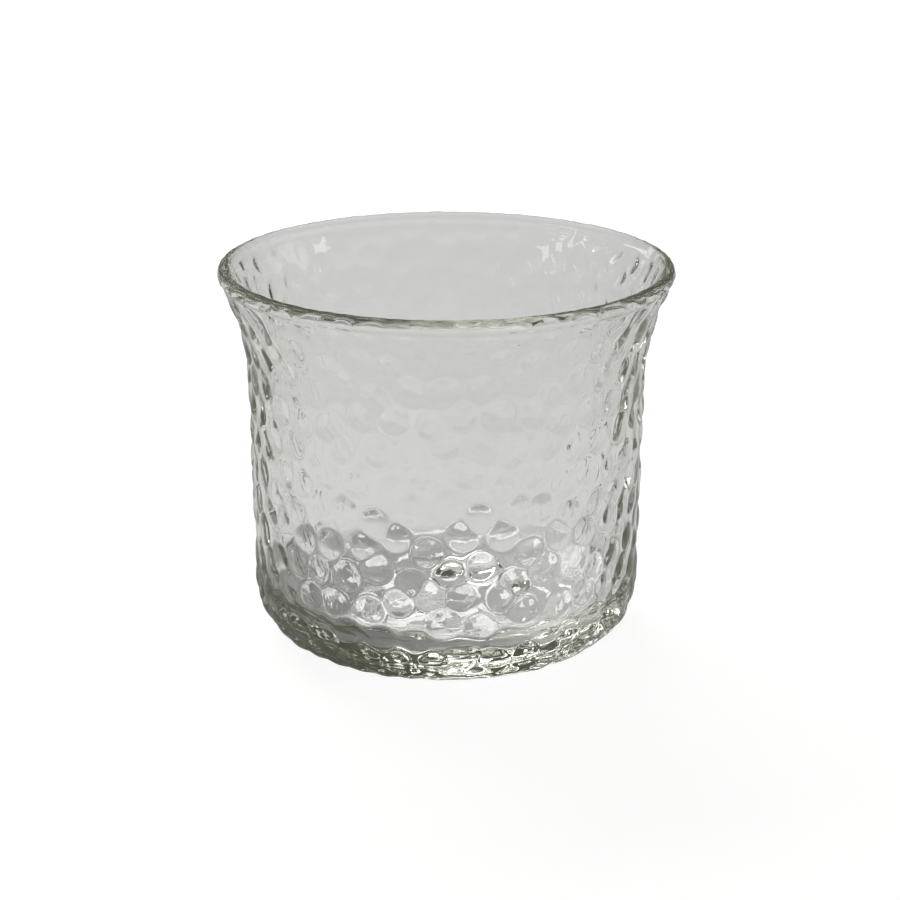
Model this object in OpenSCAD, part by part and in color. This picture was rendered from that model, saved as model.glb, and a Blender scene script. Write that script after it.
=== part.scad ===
// Chai glass: a flared tumbler of thick clear glass with a rounded heel and a pebbled outside.
// The vessel is one revolved section. Two flat seams part it into its three zones:
// the thick base, the hammered wall and the fire-polished lip.
// Origin: centre of the foot on the table. +Z points up, out of the mouth.

/* [Overall] */
// Height from the table to the top of the lip
height = 73; // [66:0.5:84]
// Overhang of the lip past the straight wall
flare_out = 5.5; // [3:0.25:8]

/* [Wall] */
// Outside diameter between the pebbles, where the straight wall meets the flare
body_d = 75; // [70:0.5:78]
// Outside diameter between the pebbles, where the straight wall meets the heel
heel_d = 74; // [68:0.5:78]
// Thickness of the glass in the wall and the lip
wall = 2.7; // [2.2:0.1:4]
// Outside radius of the outward flare
flare_r = 44; // [32:1:60]
// Height of the smooth fire-polished band at the lip
lip_h = 4.5; // [4:0.1:6]
// Swell of the rounded bead of the lip past each face of the wall
lip_swell = 0.15; // [0.1:0.05:0.4]

/* [Base] */
// Thickness of the glass under the floor
floor_t = 7; // [5:0.1:10]
// Outside radius of the heel
heel_r = 10; // [7:0.5:13]
// Inside radius where the wall meets the floor
inner_heel_r = 7; // [5:0.5:11]
// Diameter of the shallow push-up under the base
kick_d = 44; // [36:1:48]
// Depth of the push-up at its centre
kick_depth = 0.6; // [0.4:0.1:2]

/* [Pebbles] */
// Pebbles in one row around the wall
pebbles_around = 36; // [24:1:36]
// Distance between rows of pebbles, measured along the surface
row_pitch = 5.9; // [5.7:0.1:8]
// Diameter of one pebble where it leaves the wall
pebble_d = 5.4; // [3:0.1:5.6]
// Height of one pebble above the wall
pebble_h = 0.35; // [0.15:0.05:0.45]

/* [Hidden] */
$fn = 96;
glass_colour = [0.80, 0.82, 0.78, 0.5];

// Root of a pebble inside the wall, and its width against the pebble's
pebble_root = 1;
root_share = 1.05;

// Lip: a round bead on the end of the wall
rim_d = body_d + 2 * flare_out;
lip_r = wall / 2 + lip_swell;
lip_c = [rim_d / 2 - lip_r, height - lip_r];
lip_seam_z = height - lip_h;

// Flare: concentric arcs from the top of the straight wall to the lip
flare_c_x = body_d / 2 + flare_r;
flare_mid_r = flare_r + wall / 2;
flare_angle = acos((flare_c_x - lip_c[0]) / flare_mid_r);
flare_z = lip_c[1] - flare_mid_r * sin(flare_angle);

// Base: its seam lies where the inside heel runs out into the straight wall
base_seam_z = floor_t + inner_heel_r;
foot_r = heel_d / 2 - heel_r;
kick_sphere_r = (pow(kick_d / 2, 2) + pow(kick_depth, 2)) / (2 * kick_depth);

// Outside radius of the straight wall at a height
function wall_r(z) = heel_d / 2 + (body_d - heel_d) / 2 * (z - heel_r) / (flare_z - heel_r);

// Pebbles: lengths along the outside, counted from the base seam, which lies midway between two rows
heel_s = base_seam_z - heel_r;
flare_s = flare_z - base_seam_z;
lip_seam_s = flare_s + flare_r * PI / 180 * asin((lip_seam_z - flare_z) / flare_r);
heel_end_s = heel_s + heel_r * PI / 2;
rows_above = floor((lip_seam_s + (row_pitch - pebble_d) / 2) / row_pitch);
rows_below = floor((heel_end_s + (row_pitch - pebble_d) / 2) / row_pitch);
half_step = 180 / pebbles_around;

// Angle down the heel and up the flare at a length s, in degrees
function heel_turn(s) = (-s - heel_s) / heel_r * 180 / PI;
function flare_turn(s) = (s - flare_s) / flare_r * 180 / PI;

// Place on the outside at length s: [radius, height, angle of the normal above level]
function on_outside(s) =
    s < -heel_s ? [foot_r + heel_r * cos(heel_turn(s)), heel_r - heel_r * sin(heel_turn(s)), -heel_turn(s)]
    : s > flare_s ? [flare_c_x - flare_r * cos(flare_turn(s)), flare_z + flare_r * sin(flare_turn(s)), -flare_turn(s)]
    : [wall_r(base_seam_z + s), base_seam_z + s, 0];

// Bend of the outside under a pebble at length s: on the heel, across its edge, or on the wall
function bend_at(s) =
    s + pebble_d / 2 < -heel_s ? 1 / heel_r
    : s - pebble_d / 2 < -heel_s ? (1 / heel_r + 2 / body_d) / 2
    : 2 / body_d;

// Half of the outside below the flare, filled to the axis
module body_outline() {
    square([foot_r, heel_r]);
    intersection() {
        translate([foot_r, heel_r]) circle(heel_r);
        translate([foot_r, 0]) square(heel_r);
    }
    polygon([[0, heel_r], [heel_d / 2, heel_r], [body_d / 2, flare_z], [0, flare_z]]);
}

// Half of the hollow below the flare
module hollow_outline() {
    hollow_r = wall_r(base_seam_z) - wall;
    hollow_floor_r = hollow_r - inner_heel_r;
    translate([0, floor_t]) square([hollow_floor_r, inner_heel_r]);
    intersection() {
        translate([hollow_floor_r, base_seam_z]) circle(inner_heel_r);
        translate([hollow_floor_r, floor_t]) square(inner_heel_r);
    }
    polygon([[0, base_seam_z], [hollow_r, base_seam_z], [body_d / 2 - wall, flare_z], [0, flare_z]]);
}

// The flared end of the section, with its rounded lip
module flare_section() {
    translate([flare_c_x, flare_z]) {
        intersection() {
            difference() {
                circle(flare_r + wall);
                circle(flare_r);
            }
            reach = 2 * (flare_r + wall);
            polygon([[0, 0], [-reach, 0], [-reach * cos(flare_angle), reach * sin(flare_angle)]]);
        }
    }
    translate(lip_c) rotate(-90) circle(lip_r);
}

// Half of the section through the whole vessel
module glass_section() {
    difference() {
        body_outline();
        hollow_outline();
        translate([0, kick_depth - kick_sphere_r]) circle(kick_sphere_r);
    }
    flare_section();
}

// The vessel between two heights
module zone(low, high) {
    rotate_extrude() intersection() {
        glass_section();
        translate([0, low]) square([rim_d, high - low]);
    }
}

// One pebble on a surface of the given bend: its axis points out, and the surface is at its origin
module pebble(bend) {
    sphere_r = 1 / (8 * pebble_h / pow(pebble_d, 2) + bend);
    rotate_extrude() intersection() {
        translate([0, pebble_h - sphere_r]) circle(sphere_r);
        translate([0, -pebble_root]) square([pebble_d / 2 * root_share, pebble_h + pebble_root]);
    }
}

// One row of pebbles around the outside: row 0 is the first above the base seam
module pebble_row(row) {
    s = (row + 1 / 2) * row_pitch;
    place = on_outside(s);
    for (i = [0 : pebbles_around - 1])
        rotate(2 * half_step * i + half_step * (row % 2)) translate([place[0], 0, place[1]])
            rotate([0, 90 - place[2], 0]) pebble(bend_at(s));
}

module base() {
    color(glass_colour) {
        zone(0, base_seam_z);
        for (row = [1 : rows_below]) pebble_row(-row);
    }
}

module hammered_wall() {
    color(glass_colour) {
        zone(base_seam_z, lip_seam_z);
        for (row = [1 : rows_above]) pebble_row(row - 1);
    }
}

module lip() {
    color(glass_colour) zone(lip_seam_z, height);
}

base();
hammered_wall();
lip();
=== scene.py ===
import math

import bpy
import numpy as np
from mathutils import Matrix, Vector


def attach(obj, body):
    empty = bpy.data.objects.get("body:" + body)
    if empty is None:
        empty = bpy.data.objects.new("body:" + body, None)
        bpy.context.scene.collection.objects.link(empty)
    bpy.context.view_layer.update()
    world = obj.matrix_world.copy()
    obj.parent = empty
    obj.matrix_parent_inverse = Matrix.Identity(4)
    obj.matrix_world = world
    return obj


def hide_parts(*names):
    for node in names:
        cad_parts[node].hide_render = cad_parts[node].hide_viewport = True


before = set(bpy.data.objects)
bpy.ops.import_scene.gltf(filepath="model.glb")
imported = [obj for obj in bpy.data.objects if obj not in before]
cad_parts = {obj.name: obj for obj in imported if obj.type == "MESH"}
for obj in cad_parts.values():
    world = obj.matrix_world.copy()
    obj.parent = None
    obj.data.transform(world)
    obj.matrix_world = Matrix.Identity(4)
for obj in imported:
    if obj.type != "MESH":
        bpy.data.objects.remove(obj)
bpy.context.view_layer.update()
scene = bpy.context.scene
scene.view_settings.view_transform = "Standard"

# Thick clear glass: a ray may cross and mirror at many of its faces
BOUNCES = 64
scene.cycles.max_bounces = BOUNCES
scene.cycles.transmission_bounces = BOUNCES
scene.cycles.glossy_bounces = BOUNCES

FULL_TURN = 2 * math.pi
MM = 0.001

# Sizes of the vessel, in millimetres, as in the solids
HEIGHT, FLARE_OUT = 73.0, 5.5
BODY_R, HEEL_TOP_R = 37.5, 37.0
WALL, FLARE_R, LIP_SWELL = 2.7, 44.0, 0.15
FLOOR_T, HEEL_R, INNER_HEEL_R = 7.0, 10.0, 7.0
KICK_R, KICK_DEPTH = 22.0, 0.6

# Centre of the lip's bead, the flare's arcs, the foot and the hollow, from those sizes
lip_r = WALL / 2 + LIP_SWELL
lip_x, lip_z = BODY_R + FLARE_OUT - lip_r, HEIGHT - lip_r
flare_x = BODY_R + FLARE_R
flare_mid = FLARE_R + WALL / 2
flare_angle = math.acos((flare_x - lip_x) / flare_mid)
flare_z = lip_z - flare_mid * math.sin(flare_angle)
seam_z = FLOOR_T + INNER_HEEL_R
foot_r = HEEL_TOP_R - HEEL_R
hollow_r = HEEL_TOP_R + (BODY_R - HEEL_TOP_R) * (seam_z - HEEL_R) / (flare_z - HEEL_R) - WALL
hollow_floor_r = hollow_r - INNER_HEEL_R


# Section of the vessel

# The flare's outside ends this share of the bead's radius short of its middle,
# and the bead starts this far round below
BEAD_SHARE, BEAD_UNDER_DEG = 0.9, 40
# Rounding of the section's corners: step of the points, and the rounding's width and reach in steps
ROUND_STEP, ROUND_WIDTH, ROUND_REACH = 0.05, 8.0, 24
# Length under which two points of the section are the same
SAME_POINT = 1e-9


def arc(cx, cz, r, start_deg, end_deg, n=200):
    a = np.radians(np.linspace(start_deg, end_deg, n))
    return np.stack([cx + r * np.cos(a), cz + r * np.sin(a)], 1)


def line(p, q, n=200):
    t = np.linspace(0, 1, n)[:, None]
    return np.array(p) * (1 - t) + np.array(q) * t


def smooth(x, a, b):
    """Soft step from 0 at a to 1 at b."""
    t = np.clip((x - a) / (b - a), 0, 1)
    return t * t * (3 - 2 * t)


def half_section():
    """Out along the underside, up the outside, over the lip, down the inside, in along the floor."""
    flare_deg = math.degrees(flare_angle)
    kick_sphere = (KICK_R ** 2 + KICK_DEPTH ** 2) / (2 * KICK_DEPTH)
    kick_deg = math.degrees(math.asin(KICK_R / kick_sphere))
    bead_deg = math.degrees(math.asin(BEAD_SHARE * lip_r / flare_mid))
    return np.concatenate([
        arc(0, KICK_DEPTH - kick_sphere, kick_sphere, 90, 90 - kick_deg),
        line((KICK_R, 0), (foot_r, 0)),
        arc(foot_r, HEEL_R, HEEL_R, -90, 0),
        line((HEEL_TOP_R, HEEL_R), (BODY_R, flare_z)),
        arc(flare_x, flare_z, FLARE_R, 180, 180 - flare_deg + bead_deg),
        arc(lip_x, lip_z, lip_r, -flare_deg - BEAD_UNDER_DEG, 90 - flare_deg),
        arc(lip_x, lip_z, WALL / 2, 90 - flare_deg, 180 - flare_deg),
        arc(flare_x, flare_z, FLARE_R + WALL, 180 - flare_deg, 180),
        line((BODY_R - WALL, flare_z), (hollow_r, seam_z)),
        arc(hollow_floor_r, seam_z, INNER_HEEL_R, 0, -90),
        line((hollow_floor_r, FLOOR_T), (0, FLOOR_T)),
    ])


def lengths(points):
    """Length along a row of points, at each of them."""
    return np.concatenate([[0], np.cumsum(np.hypot(*np.diff(points, axis=0).T))])


def resample(points, step):
    length = lengths(points)
    keep = np.concatenate([[True], np.diff(length) > SAME_POINT])
    s = np.linspace(0, length[-1], int(round(length[-1] / step)) + 1)
    return np.stack([np.interp(s, length[keep], points[keep, k]) for k in (0, 1)], 1)


def rounded(points):
    """Every change of direction is rounded, as fire-polished glass is."""
    kernel = np.exp(-0.5 * (np.arange(-ROUND_REACH, ROUND_REACH + 1) / ROUND_WIDTH) ** 2)
    kernel /= kernel.sum()
    before = 2 * points[0] - points[ROUND_REACH:0:-1]
    after = 2 * points[-1] - points[-2:-ROUND_REACH - 2:-1]
    padded = np.concatenate([before, points, after])
    result = np.stack([np.convolve(padded[:, k], kernel, "valid") for k in (0, 1)], 1)
    result[0, 0] = result[-1, 0] = 0.0
    return result


section = rounded(resample(half_section(), ROUND_STEP))
section_s = lengths(section)


def at(s):
    """Radius and height of the section at length s."""
    return np.interp(s, section_s, section[:, 0]), np.interp(s, section_s, section[:, 1])


def length_at(r, z):
    return section_s[int(np.argmin(np.hypot(section[:, 0] - r, section[:, 1] - z)))]


# Lengths along the section: top of the lip, end of the foot, seam outside and inside, centre of the floor
top_s = section_s[int(np.argmax(section[:, 1]))]
heel_s = length_at(foot_r, 0)
seam_s = length_at(HEEL_TOP_R, seam_z)
hollow_s = length_at(hollow_r, seam_z)
end_s = section_s[-1]


# Pebbles, set in staggered rows a little unevenly, as the mould's hand-cut pattern has them

# Pitch up the wall, count around it, and rows counted from the seam of the base
ROW, AROUND, ROWS = 5.9, 38, range(-3, 10)
# Height, radius of the foot and power of the cushion's profile
PEBBLE_H, PEBBLE_A, CUSHION = (0.34, 0.48), (2.7, 3.2), 2.2
# Unevenness of their places around and up the wall, as shares of the pitch
JITTER, JITTER_UP = 0.17, 0.32
# Rise and fall of the rows, and how often around
ROW_WAVE, ROW_TURNS = 0.8, (2, 3, 5)
# Sharpness of the grooves between them, per millimetre of height
GROOVE = 15.0
# Share of a pebble's height that shows inside
INSIDE_SHARE = 0.16
# A pebble counts up to this many pitches along, and up to this many radii away
NEAR_ROWS, NEAR_RADII = 2, 2
# They fade in above the foot and out below the top of the lip, between these lengths
FADE_IN, FADE_OUT = (2.0, 10.0), (6.0, 3.2)
# Height above the floor at which the inside starts to follow them, and length below the top where they end
INSIDE_START, OUTSIDE_END = 3, 3

# Points around the glass, and the seed of all its unevenness
COLUMNS, SEED = 600, 5
theta = np.linspace(0, FULL_TURN, COLUMNS, endpoint=False)
rng = np.random.default_rng(SEED)
row_waves = [(n, rng.uniform(0, FULL_TURN)) for n in ROW_TURNS]


def row_wave(turn):
    """Rise and fall of the rows around the glass, in millimetres."""
    return ROW_WAVE * sum(math.sin(n * turn + start) for n, start in row_waves)


def make_pebbles():
    """One line for each pebble: turn, length along the section, radius of its row, foot and height."""
    pebbles = []
    for row in ROWS:
        row_s = seam_s + (row + 0.5) * ROW
        row_r = at(row_s)[0]
        for i in range(AROUND):
            turn = FULL_TURN * (i + 0.5 * (row % 2) + rng.uniform(-JITTER, JITTER)) / AROUND
            s = row_s + row_wave(turn) + rng.uniform(-JITTER_UP, JITTER_UP) * ROW
            foot = rng.uniform(*PEBBLE_A)
            height = rng.uniform(*PEBBLE_H)
            pebbles.append((turn, s, row_r, foot, height))
    return np.array(pebbles)


pebbles = make_pebbles()


def pebble_height(s):
    """Height of the pebbles above the section at length s, in millimetres, for every column."""
    near = pebbles[np.abs(pebbles[:, 1] - s) < NEAR_ROWS * ROW]
    if not len(near):
        return np.zeros(COLUMNS)
    turns, places, row_r, foot, height = near.T[:, None, :]
    turn = (theta[:, None] - turns + math.pi) % FULL_TURN - math.pi
    across = turn * 0.5 * (at(s)[0] + row_r)
    away = np.hypot(across, s - places) / foot
    cushions = height * (1 - np.minimum(away, NEAR_RADII) ** CUSHION)
    fade_in = smooth(s, heel_s + FADE_IN[0], heel_s + FADE_IN[1])
    fade_out = 1 - smooth(s, top_s - FADE_OUT[0], top_s - FADE_OUT[1])
    return fade_in * fade_out * np.log(1 + np.exp(GROOVE * cushions).sum(1)) / GROOVE


outside = section_s <= top_s - OUTSIDE_END


def inside_height(s):
    """The inside follows the pebbles faintly: it falls back behind each one."""
    z = at(s)[1]
    fade = smooth(z, FLOOR_T + INSIDE_START, seam_z)
    return -INSIDE_SHARE * fade * pebble_height(np.interp(z, section[outside, 1], section_s[outside]))


# Slow unevenness of the glass between and beside the pebbles, in millimetres

# Height of the bead's unevenness, and how often around
BEAD_WAVE, BEAD_TURNS = 0.09, (14, 29, 47, 61, 78)
# Height of the rest, and its waves: their count, the shortest and the longest
UNDER_WAVE, FLOOR_WAVE = 0.30, 0.06
HEEL_WAVE, FLARE_WAVE = 0.06, 0.06
UNDER_WAVES, FLOOR_WAVES = (14, 9, 18), (14, 12, 24)
HEEL_WAVES, FLARE_WAVES = (18, 4.5, 9), (16, 7, 14)
# The bead's unevenness fades between these lengths from the top of the lip
BEAD_FADE = (3, 5.5)
# The heel's unevenness comes in and goes out between these lengths from the end of the foot
HEEL_FROM, HEEL_TO = (-4, 1), (8, 14)
# The flare's comes in past the lip, and goes out over this height below the flare
FLARE_FROM, FLARE_FADE = (2, 5), 8
# The underside's goes out before the foot ring, and the floor's on the inside heel
UNDER_FADE, FLOOR_FADE = (5, 1), 1


def make_waves(count, shortest, longest):
    """Waves in many directions: direction and start of each, and its turn per millimetre."""
    turn = rng.uniform(0, FULL_TURN, (count, 2))
    wave = FULL_TURN / rng.uniform(shortest, longest, count)
    return turn, wave


bead_waves = [(n, rng.uniform(0, FULL_TURN)) for n in BEAD_TURNS]
heel_waves = make_waves(*HEEL_WAVES)
flare_waves = make_waves(*FLARE_WAVES)
under_waves = make_waves(*UNDER_WAVES)
floor_waves = make_waves(*FLOOR_WAVES)
# Turn from one side of the glass to the other, the same way round on both halves, so that the waves close
half_turn = np.minimum(theta, FULL_TURN - theta)


def uneven(x, y, waves):
    turn, wave = waves
    total = sum(np.sin(k * (x * math.cos(a) + y * math.sin(a)) + b) for (a, b), k in zip(turn, wave))
    return total / math.sqrt(len(wave) / 2)


def bead_height(s):
    wave = sum(np.sin(n * theta + start) for n, start in bead_waves) / len(bead_waves)
    fade_in = smooth(s, top_s - BEAD_FADE[1], top_s - BEAD_FADE[0])
    fade_out = 1 - smooth(s, top_s + BEAD_FADE[0], top_s + BEAD_FADE[1])
    return BEAD_WAVE * wave * fade_in * fade_out


def heel_height(s):
    fade_in = smooth(s, heel_s + HEEL_FROM[0], heel_s + HEEL_FROM[1])
    fade_out = 1 - smooth(s, heel_s + HEEL_TO[0], heel_s + HEEL_TO[1])
    return HEEL_WAVE * fade_in * fade_out * uneven(HEEL_TOP_R * half_turn, s, heel_waves)


def flare_height(s, z):
    fade_in = smooth(s, top_s + FLARE_FROM[0], top_s + FLARE_FROM[1])
    fade_out = 1 - smooth(z, flare_z, flare_z - FLARE_FADE)
    return FLARE_WAVE * fade_in * fade_out * uneven(BODY_R * half_turn, s, flare_waves)


def under_height(r):
    wave = uneven(r * np.cos(theta), r * np.sin(theta), under_waves)
    return -UNDER_WAVE * (1 + wave / 2) * (1 - smooth(r, KICK_R - UNDER_FADE[0], KICK_R - UNDER_FADE[1]))


def floor_height(r):
    wave = uneven(r * np.cos(theta), r * np.sin(theta), floor_waves)
    return FLOOR_WAVE * wave * (1 - smooth(r, hollow_floor_r - FLOOR_FADE, hollow_r - FLOOR_FADE))


# Mesh of the glass: one closed skin of rings

# Steps along the section under the base, up the outside, over the lip, down the inside and on the floor
UNDER_STEP, OUTSIDE_STEP, LIP_STEP, INSIDE_STEP, FLOOR_STEP = 0.7, 0.38, 0.22, 0.8, 0.6
# First and last ring, from the axis, and reach of the lip's fine rings on both sides of the top
FIRST_RING, LAST_RING, LIP_REACH = 0.6, 1.0, 5


def outward(s):
    """Direction out of the glass at length s, as radius and height."""
    (r0, z0), (r1, z1) = at(s - ROUND_STEP), at(s + ROUND_STEP)
    d = math.hypot(r1 - r0, z1 - z0)
    return (z1 - z0) / d, -(r1 - r0) / d


def ring(s):
    """Points of the skin at length s, in metres."""
    r, z = at(s)
    out_r, out_z = outward(s)
    off = (pebble_height(s) if s < top_s else inside_height(s)) + bead_height(s) + heel_height(s)
    if s > top_s:
        off = off + flare_height(s, z)
    if s < heel_s:
        off = off + under_height(r)
    if s > hollow_s:
        off = off + floor_height(r)
    ring_r = (r + out_r * off) * MM
    ring_z = np.maximum((z + out_z * off) * MM, 0.0)
    return np.stack([ring_r * np.cos(theta), ring_r * np.sin(theta), ring_z], 1)


def skin_faces(count):
    """Faces between the rings, and the two fans that close the skin at the axis."""
    col = np.arange(COLUMNS)
    nxt = (col + 1) % COLUMNS
    last = 1 + (count - 1) * COLUMNS
    end = 1 + count * COLUMNS
    faces = [(0, 1 + b, 1 + a) for a, b in zip(col.tolist(), nxt.tolist())]
    for i in range(1, last, COLUMNS):
        j = i + COLUMNS
        faces.extend(zip((i + col).tolist(), (i + nxt).tolist(), (j + nxt).tolist(), (j + col).tolist()))
    faces.extend((last + a, last + b, end) for a, b in zip(col.tolist(), nxt.tolist()))
    return faces


def make_glass():
    steps = np.concatenate([
        np.arange(FIRST_RING, heel_s, UNDER_STEP),
        np.arange(heel_s, top_s - LIP_REACH, OUTSIDE_STEP),
        np.arange(top_s - LIP_REACH, top_s + LIP_REACH, LIP_STEP),
        np.arange(top_s + LIP_REACH, hollow_s, INSIDE_STEP),
        np.arange(hollow_s, end_s - LAST_RING, FLOOR_STEP),
    ])
    bottom = np.array([[0, 0, KICK_DEPTH * MM]])
    floor_centre = np.array([[0, 0, FLOOR_T * MM]])
    verts = np.concatenate([bottom] + [ring(s) for s in steps] + [floor_centre])
    mesh = bpy.data.meshes.new("glass_body")
    mesh.from_pydata(verts.tolist(), [], skin_faces(len(steps)))
    mesh.validate()
    mesh.polygons.foreach_set("use_smooth", np.ones(len(mesh.polygons), dtype=bool))
    obj = bpy.data.objects.new("glass_body", mesh)
    scene.collection.objects.link(obj)
    return obj


glass = make_glass()
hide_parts("base", "hammered_wall", "lip")
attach(glass, "root")


# Nodes of the materials


def connect(tree, value, socket):
    """Link a socket to another node's output, or set it to a value."""
    if isinstance(value, bpy.types.NodeSocket):
        tree.links.new(value, socket)
    else:
        socket.default_value = value


def math_node(tree, operation, *values):
    node = tree.nodes.new("ShaderNodeMath")
    node.operation = operation
    for socket, value in zip(node.inputs, values):
        connect(tree, value, socket)
    return node.outputs["Value"]


def vector_node(tree, operation, *values):
    node = tree.nodes.new("ShaderNodeVectorMath")
    node.operation = operation
    for socket, value in zip(node.inputs, values):
        connect(tree, value, socket)
    return node.outputs


def step_node(tree, value, start, end):
    """Soft step of a value: start and end are pairs of the value and the result."""
    node = tree.nodes.new("ShaderNodeMapRange")
    node.interpolation_type = "SMOOTHSTEP"
    tree.links.new(value, node.inputs["Value"])
    node.inputs["From Min"].default_value, node.inputs["To Min"].default_value = start
    node.inputs["From Max"].default_value, node.inputs["To Max"].default_value = end
    return node.outputs["Result"]


def new_material(name):
    material = bpy.data.materials.new(name)
    material.use_nodes = True
    material.node_tree.nodes.clear()
    return material, material.node_tree


# Clear glass with a faint olive-grey body colour

GLASS_COLOUR, GLASS_IOR = (0.98, 0.98, 0.975, 1), 1.5
BODY_COLOUR, BODY_DENSITY = (0.49, 0.50, 0.37, 1), 9.0
# Faint ripple of a fire-polished surface
RIPPLE_SCALE, RIPPLE_DETAIL, RIPPLE_HEIGHT = 260.0, 3.0, 0.00003


def ripple_normal(tree):
    where = tree.nodes.new("ShaderNodeTexCoord")
    noise = tree.nodes.new("ShaderNodeTexNoise")
    noise.inputs["Scale"].default_value = RIPPLE_SCALE
    noise.inputs["Detail"].default_value = RIPPLE_DETAIL
    bump = tree.nodes.new("ShaderNodeBump")
    bump.inputs["Strength"].default_value = 1.0
    bump.inputs["Distance"].default_value = RIPPLE_HEIGHT
    tree.links.new(where.outputs["Object"], noise.inputs["Vector"])
    tree.links.new(noise.outputs["Fac"], bump.inputs["Height"])
    return bump.outputs["Normal"]


def glass_material():
    material, tree = new_material("clear_glass")
    surface = tree.nodes.new("ShaderNodeBsdfPrincipled")
    surface.inputs["Base Color"].default_value = GLASS_COLOUR
    surface.inputs["Transmission Weight"].default_value = 1.0
    surface.inputs["IOR"].default_value = GLASS_IOR
    surface.inputs["Roughness"].default_value = 0.0
    tree.links.new(ripple_normal(tree), surface.inputs["Normal"])
    body = tree.nodes.new("ShaderNodeVolumeAbsorption")
    body.inputs["Color"].default_value = BODY_COLOUR
    body.inputs["Density"].default_value = BODY_DENSITY
    out = tree.nodes.new("ShaderNodeOutputMaterial")
    tree.links.new(surface.outputs["BSDF"], out.inputs["Surface"])
    tree.links.new(body.outputs["Volume"], out.inputs["Volume"])
    return material


glass.data.materials.append(glass_material())


# Pale floor: white to the camera, a light grey through the glass with painted shadow and a painted pool of
# light on it, and its diffuse part keeps the real shadow

FLOOR_SIZE, FLOOR_COLOUR = 8, (0.25, 0.25, 0.246, 1)
CAMERA_FILL = 0.90
# Share of the grey that shows as a reflection on the glass
MIRROR_SHARE = 0.4
# Painted grey by distance from the axis, in metres: under the base, with a painted contact shadow, and a
# painted pool of light outside it
FLOOR_REACH = 0.40
UNDER_SHADOW_STOPS = [(0.0, 0.28), (0.018, 0.28), (0.025, 0.20), (0.034, 0.20), (0.043, 0.0)]
OUTER_LIGHT_STOPS = [(0.0, 0.0), (0.034, 0.0), (0.044, 0.55), (0.070, 0.55), (0.180, 0.435)]
# The painted contact shadow is longer to the sides by this share, and lies a little to the right
SHADOW_SHARE, SHADOW_SHIFT = 0.44, (-0.006, 0.0, 0.0)
# Painted shade: the floor is dimmer far out on both sides, from and to this distance, down to this share
SIDE_SHADE_REACH, SIDE_SHADE_SHARE = (0.11, 0.26), 0.55
# The painted shadow is deepest in front on the left and lightest behind on the right
LIGHT_WAY, LIGHT_REACH, SHADOW_DEEP_SHARE, SHADOW_FAINT_SHARE = (0.83, 0.56, 0.0), 0.028, 0.7, 2.1
# Painted caustic: a painted pool of light where the glass gathers the window's light
CAUSTIC_AT, CAUSTIC_R, CAUSTIC_FILL = (0.032, -0.040, 0.0), 0.024, 1.1


def ramp_node(tree, distance, stops):
    """A grey that follows a distance, in metres: the stops are pairs of distance and value."""
    node = tree.nodes.new("ShaderNodeValToRGB")
    node.color_ramp.interpolation = "EASE"
    while len(node.color_ramp.elements) < len(stops):
        node.color_ramp.elements.new(0.5)
    for element, (place, value) in zip(node.color_ramp.elements, stops):
        element.position = place / FLOOR_REACH
        element.color = (value, value, value, 1)
    tree.links.new(math_node(tree, "DIVIDE", distance, FLOOR_REACH), node.inputs["Fac"])
    return node.outputs["Color"]


def painted_floor_light(tree):
    """Painted light and shade of the floor through the glass, by its place: contact shadow, pool of light
    and caustic.
    """
    place = tree.nodes.new("ShaderNodeNewGeometry").outputs["Position"]
    squashed = vector_node(tree, "MULTIPLY_ADD", place, (SHADOW_SHARE, 1, 1), SHADOW_SHIFT)["Vector"]
    distance = vector_node(tree, "LENGTH", squashed)["Value"]
    # Painted contact shadow under the base, deeper towards the front left
    to_light = vector_node(tree, "DOT_PRODUCT", place, LIGHT_WAY)["Value"]
    side = step_node(tree, to_light, (-LIGHT_REACH, SHADOW_DEEP_SHARE), (LIGHT_REACH, SHADOW_FAINT_SHARE))
    under = math_node(tree, "MULTIPLY", ramp_node(tree, distance, UNDER_SHADOW_STOPS), side)
    # Painted pool of light around the glass, with painted shade far out on both sides
    parts = tree.nodes.new("ShaderNodeSeparateXYZ")
    tree.links.new(place, parts.inputs[0])
    sideways = math_node(tree, "ABSOLUTE", parts.outputs["X"])
    far_out = step_node(tree, sideways, (SIDE_SHADE_REACH[0], 1.0), (SIDE_SHADE_REACH[1], SIDE_SHADE_SHARE))
    around = math_node(tree, "MULTIPLY", ramp_node(tree, distance, OUTER_LIGHT_STOPS), far_out)
    # Painted caustic in front on the right
    apart = vector_node(tree, "DISTANCE", place, CAUSTIC_AT)["Value"]
    painted_caustic = step_node(tree, apart, (0.0, CAUSTIC_FILL), (CAUSTIC_R, 0.0))
    return math_node(tree, "ADD", math_node(tree, "ADD", under, around), painted_caustic)


def floor_material():
    material, tree = new_material("floor_white")
    ray = tree.nodes.new("ShaderNodeLightPath").outputs
    mirrored = math_node(tree, "MULTIPLY", ray["Is Glossy Ray"], MIRROR_SHARE)
    by_glass = math_node(tree, "MAXIMUM", ray["Is Transmission Ray"], mirrored)
    to_camera = math_node(tree, "MULTIPLY", ray["Is Camera Ray"], CAMERA_FILL)
    # Painted shade and light of the floor, for rays that come by the glass
    painted_light_to_glass = math_node(tree, "MULTIPLY", by_glass, painted_floor_light(tree))
    glow = tree.nodes.new("ShaderNodeEmission")
    tree.links.new(math_node(tree, "ADD", to_camera, painted_light_to_glass), glow.inputs["Strength"])
    diffuse = tree.nodes.new("ShaderNodeBsdfDiffuse")
    diffuse.inputs["Color"].default_value = FLOOR_COLOUR
    both = tree.nodes.new("ShaderNodeAddShader")
    tree.links.new(diffuse.outputs[0], both.inputs[0])
    tree.links.new(glow.outputs[0], both.inputs[1])
    out = tree.nodes.new("ShaderNodeOutputMaterial")
    tree.links.new(both.outputs[0], out.inputs["Surface"])
    return material


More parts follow.
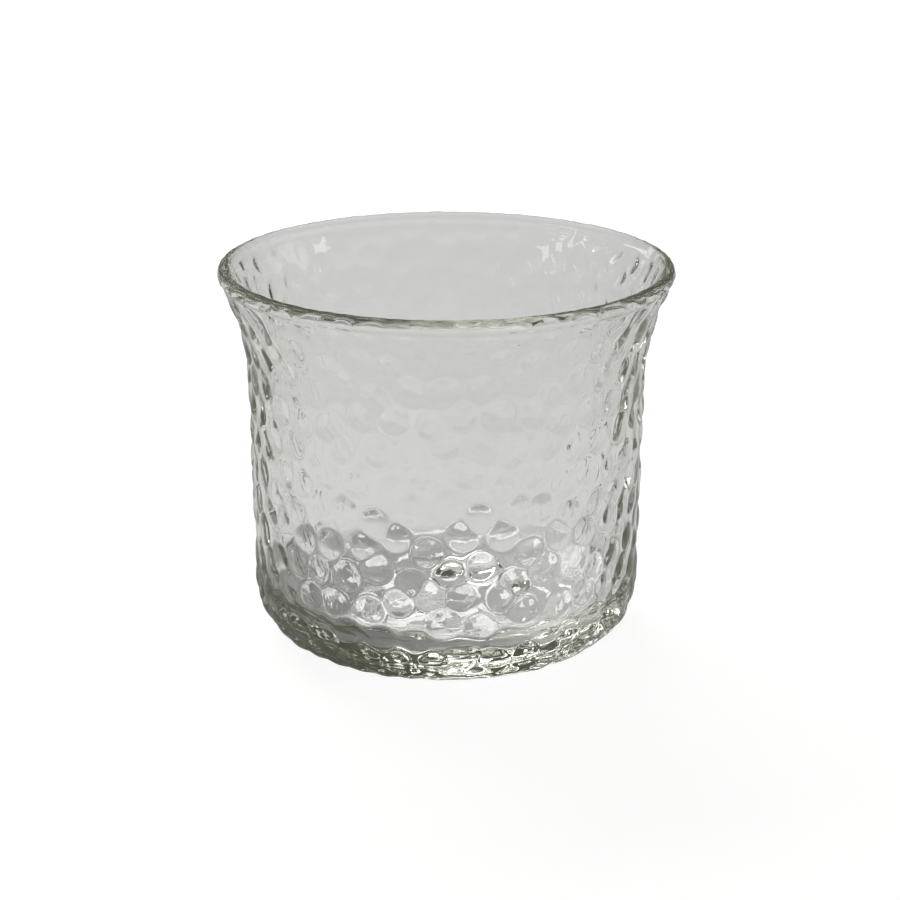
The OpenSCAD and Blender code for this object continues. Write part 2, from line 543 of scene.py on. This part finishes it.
bpy.ops.mesh.primitive_plane_add(size=FLOOR_SIZE, location=(0, 0, 0))
floor = bpy.context.object
floor.name = "floor"
floor.data.materials.append(floor_material())


# Studio: a dim olive-grey dome and soft lamps

DOME_COLOUR = (0.088, 0.092, 0.066, 1)
LAMP_AIM = Vector((0, 0, 0.03))
# The window behind the glass on the left: azimuth, elevation and size
WINDOW = (22, 41, (0.95, 0.54))
# Small panes on the left, each further round and lower than the last
PANES, PANE_FROM, PANE_STEP = 3, (96, 30), (11, -3)

world = bpy.data.worlds.new("studio")
scene.world = world
world.use_nodes = True
background = world.node_tree.nodes["Background"]
background.inputs["Color"].default_value = DOME_COLOUR
background.inputs["Strength"].default_value = 1.0


def softbox(name, azimuth, elevation, size, radiance):
    """A soft lamp a metre from the glass: azimuth 0 is behind it, 90 on the left."""
    turn, rise = math.radians(azimuth), math.radians(elevation)
    away = Vector((-math.sin(turn) * math.cos(rise), math.cos(turn) * math.cos(rise), math.sin(rise)))
    light = bpy.data.lights.new(name, "AREA")
    light.shape = "RECTANGLE"
    light.size, light.size_y = size
    light.energy = radiance * math.pi * size[0] * size[1]
    obj = bpy.data.objects.new(name, light)
    obj.location = LAMP_AIM + away
    obj.rotation_euler = (-away).to_track_quat("-Z", "Y").to_euler()
    scene.collection.objects.link(obj)
    return obj


# The window shines through the glass at full strength, and as a reflection only faintly
softbox("window", *WINDOW, 4.2).visible_glossy = False
softbox("window_high", 24, 52, (0.80, 0.22), 3.0).visible_glossy = False
softbox("window_low", 37, 17, (0.30, 0.26), 2.2).visible_glossy = False
softbox("window_shine", *WINDOW, 0.7)
softbox("wall_right", -76, 18, (0.40, 0.20), 0.70)
for k in range(PANES):
    pane_azimuth, pane_elevation = (start + step * k for start, step in zip(PANE_FROM, PANE_STEP))
    softbox(f"pane_{k}", pane_azimuth, pane_elevation, (0.09, 0.12), 3.5)
softbox("fill_right", -100, 27, (0.10, 0.09), 3.0)


# Camera at the photograph's place: focal length and axis of the glass in pixels of its frame

IMAGE_PX, FOCAL_PX, AXIS_PX = 900, 2170.2, (446.3, 444.3)
SENSOR_MM, CLIP_START = 36, 0.01
CAMERA_AIM, CAMERA_ELEVATION, CAMERA_DISTANCE = Vector((0, 0, 0.03637)), 18.9, 0.42


def make_camera():
    camera = bpy.data.cameras.new("camera")
    camera.sensor_width = SENSOR_MM
    camera.sensor_fit = "HORIZONTAL"
    camera.lens = FOCAL_PX / IMAGE_PX * SENSOR_MM
    camera.shift_x = (IMAGE_PX / 2 - AXIS_PX[0]) / IMAGE_PX
    camera.shift_y = -(IMAGE_PX / 2 - AXIS_PX[1]) / IMAGE_PX
    camera.clip_start = CLIP_START
    obj = bpy.data.objects.new("camera", camera)
    scene.collection.objects.link(obj)
    rise = math.radians(CAMERA_ELEVATION)
    obj.location = CAMERA_AIM + Vector((0, -math.cos(rise), math.sin(rise))) * CAMERA_DISTANCE
    obj.rotation_euler = (CAMERA_AIM - obj.location).to_track_quat("-Z", "Y").to_euler()
    return obj


scene.camera = make_camera()
